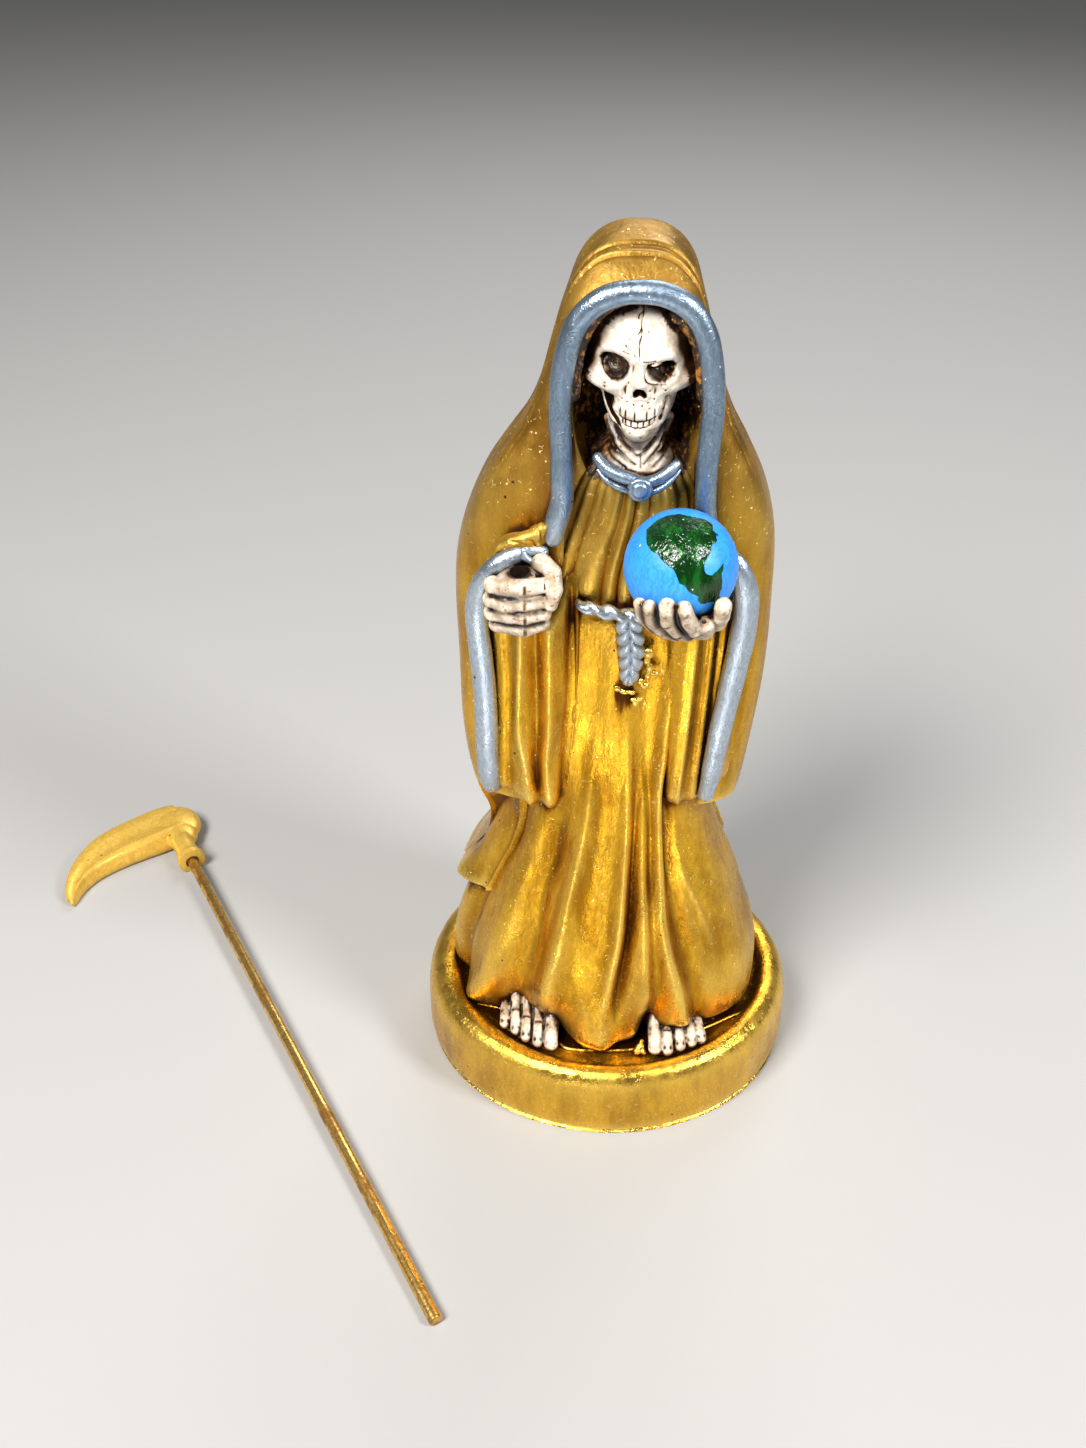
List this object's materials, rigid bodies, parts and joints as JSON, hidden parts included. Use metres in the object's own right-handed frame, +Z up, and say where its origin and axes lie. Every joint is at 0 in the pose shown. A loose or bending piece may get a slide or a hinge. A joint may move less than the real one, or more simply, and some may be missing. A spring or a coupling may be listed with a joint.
{
  "type": "santa muerte figurine",
  "caption": "Hand-painted cast resin santa muerte: hooded skeleton in a gown and cloak, holding a globe, on a rimmed round plinth, its loose scythe beside it.",
  "frame": {"origin": "centre of the plinth's underside, on the surface that the figure stands on", "axes": "+Z up, -Y the way the figure faces, -X towards the figure's right hand"},
  "size_m": [0.1391, 0.1162, 0.14],
  "materials": {
    "painted_casting": "antique gold paint with silver, bone, blue and green, satin",
    "scythe_head": "pale gold paint, satin",
    "scythe_rod": "brushed, rubbed brown in places"
  },
  "bodies": {
    "root": {"figure": "painted_casting", "scythe_head": "scythe_head", "scythe_rod": "scythe_rod"}
  },
  "joints": []
}
